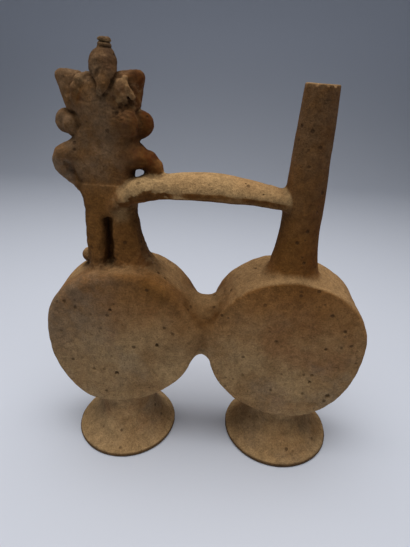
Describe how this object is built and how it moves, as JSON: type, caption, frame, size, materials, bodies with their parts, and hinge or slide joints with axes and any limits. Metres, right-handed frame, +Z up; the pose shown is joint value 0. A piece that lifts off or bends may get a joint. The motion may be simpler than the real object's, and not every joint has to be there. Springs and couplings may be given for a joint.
{
  "type": "double vase",
  "caption": "Fired-clay double vase: drum-shaped chambers on trumpet feet, joined by a neck, with a spout, a strap handle and a standing figure",
  "frame": {"origin": "middle of the footprint, on the plane the feet stand on", "axes": "+X from the figure to the spout, +Y the way the figure faces, +Z up"},
  "size_m": [0.1851, 0.0688, 0.2328],
  "materials": {
    "earthenware": "matte"
  },
  "bodies": {
    "root": {"double_vase": "earthenware"}
  },
  "joints": []
}
